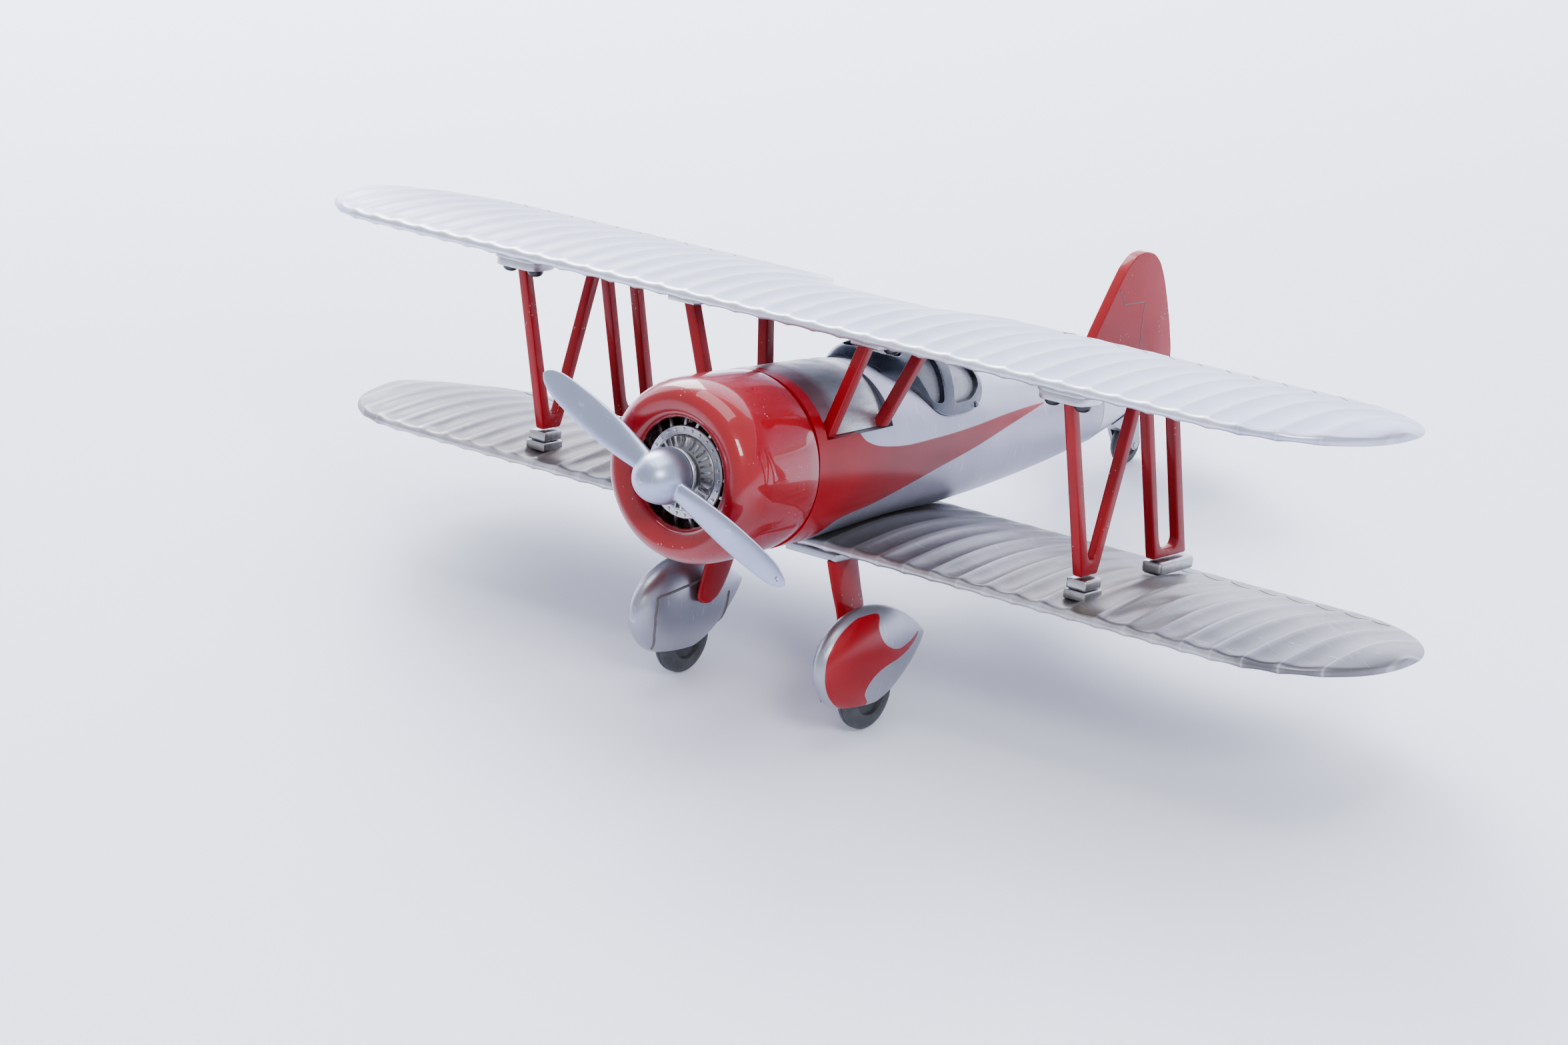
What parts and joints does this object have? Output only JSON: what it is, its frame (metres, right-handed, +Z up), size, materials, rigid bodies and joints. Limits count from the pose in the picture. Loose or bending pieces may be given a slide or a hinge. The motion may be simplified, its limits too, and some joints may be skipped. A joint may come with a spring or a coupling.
{
  "type": "toy biplane",
  "caption": "Red and silver die-cast style toy biplane with ribbed wings, round cowl and engine, framed canopy, faired wheels, turning propeller and wheels.",
  "frame": {"origin": "centre of the bounding box, on the surface the three wheels stand on", "axes": "+X to the aeroplane's left along the wings, +Y towards the tail, +Z up; the thrust line points up and forwards because the model stands on its tail wheel"},
  "size_m": [0.2686, 0.1885, 0.0872],
  "materials": {
    "red_paint": "gloss, light wear",
    "silver_paint": "satin metallic",
    "bright_metal": "bright, slightly worn",
    "deck_metal": "satin, grimy",
    "dark_frame": "semi-gloss",
    "clear_pane": "clear",
    "cabin_grey": "matt",
    "black_screw": "satin",
    "black_rubber": "matt"
  },
  "bodies": {
    "airframe": {"axle_left": "bright_metal", "axle_right": "bright_metal", "cabane_front_left": "red_paint", "cabane_front_right": "red_paint", "cabane_pad_left": "silver_paint", "cabane_pad_right": "silver_paint", "cabane_rear_left": "red_paint", "cabane_rear_right": "red_paint", "cabane_screw_left": "black_screw", "cabane_screw_right": "black_screw", "canopy_frame": "dark_frame", "canopy_glass": "clear_pane", "cockpit_tub": "cabin_grey", "cowl": "red_paint", "engine_cylinders": "bright_metal", "engine_disc": "bright_metal", "engine_nose_case": "black_screw", "firewall": "bright_metal", "fuselage_body": "silver_paint", "gear_leg_left": "red_paint", "gear_leg_right": "red_paint", "leg_mount_left": "silver_paint", "leg_mount_right": "silver_paint", "lower_wing": "silver_paint", "pad_screw_left_inner": "black_screw", "pad_screw_left_outer": "black_screw", "pad_screw_right_inner": "black_screw", "pad_screw_right_outer": "black_screw", "spat_left_inner": "silver_paint", "spat_left_outer": "silver_paint", "spat_right_inner": "silver_paint", "spat_right_outer": "silver_paint", "strut_foot_front_left": "bright_metal", "strut_foot_front_right": "bright_metal", "strut_foot_rear_left": "bright_metal", "strut_foot_rear_right": "bright_metal", "strut_u_left": "red_paint", "strut_u_right": "red_paint", "strut_v_left": "red_paint", "strut_v_right": "red_paint", "tail_axle": "bright_metal", "tail_cone": "silver_paint", "tail_fin": "red_paint", "tail_fork": "silver_paint", "tailplane": "silver_paint", "top_deck": "deck_metal", "upper_wing": "silver_paint", "wing_pad_front_left": "silver_paint", "wing_pad_front_right": "silver_paint", "wing_pad_rear_left": "silver_paint", "wing_pad_rear_right": "silver_paint", "wing_socket_left": "bright_metal", "wing_socket_right": "bright_metal"},
    "propeller": {"propeller": "silver_paint", "spinner_backplate": "deck_metal", "prop_shaft": "bright_metal"},
    "wheel_left": {"wheel_left": "black_rubber"},
    "wheel_right": {"wheel_right": "black_rubber"},
    "tail_wheel": {"tail_wheel": "black_rubber"}
  },
  "joints": [
    {"name": "prop_spin", "type": "hinge", "parent": "airframe", "child": "propeller", "pos_m": [0, -0.0863, 0.06326], "axis": [0, -0.9658, 0.2593], "continuous": true},
    {"name": "wheel_left_spin", "type": "hinge", "parent": "airframe", "child": "wheel_left", "pos_m": [0.0244, -0.05789, 0.0079], "axis": [1, 0, 0], "continuous": true},
    {"name": "wheel_right_spin", "type": "hinge", "parent": "airframe", "child": "wheel_right", "pos_m": [-0.0244, -0.05789, 0.0079], "axis": [1, 0, 0], "continuous": true},
    {"name": "tail_wheel_spin", "type": "hinge", "parent": "airframe", "child": "tail_wheel", "pos_m": [0, 0.07588, 0.0048], "axis": [1, 0, 0], "continuous": true}
  ]
}
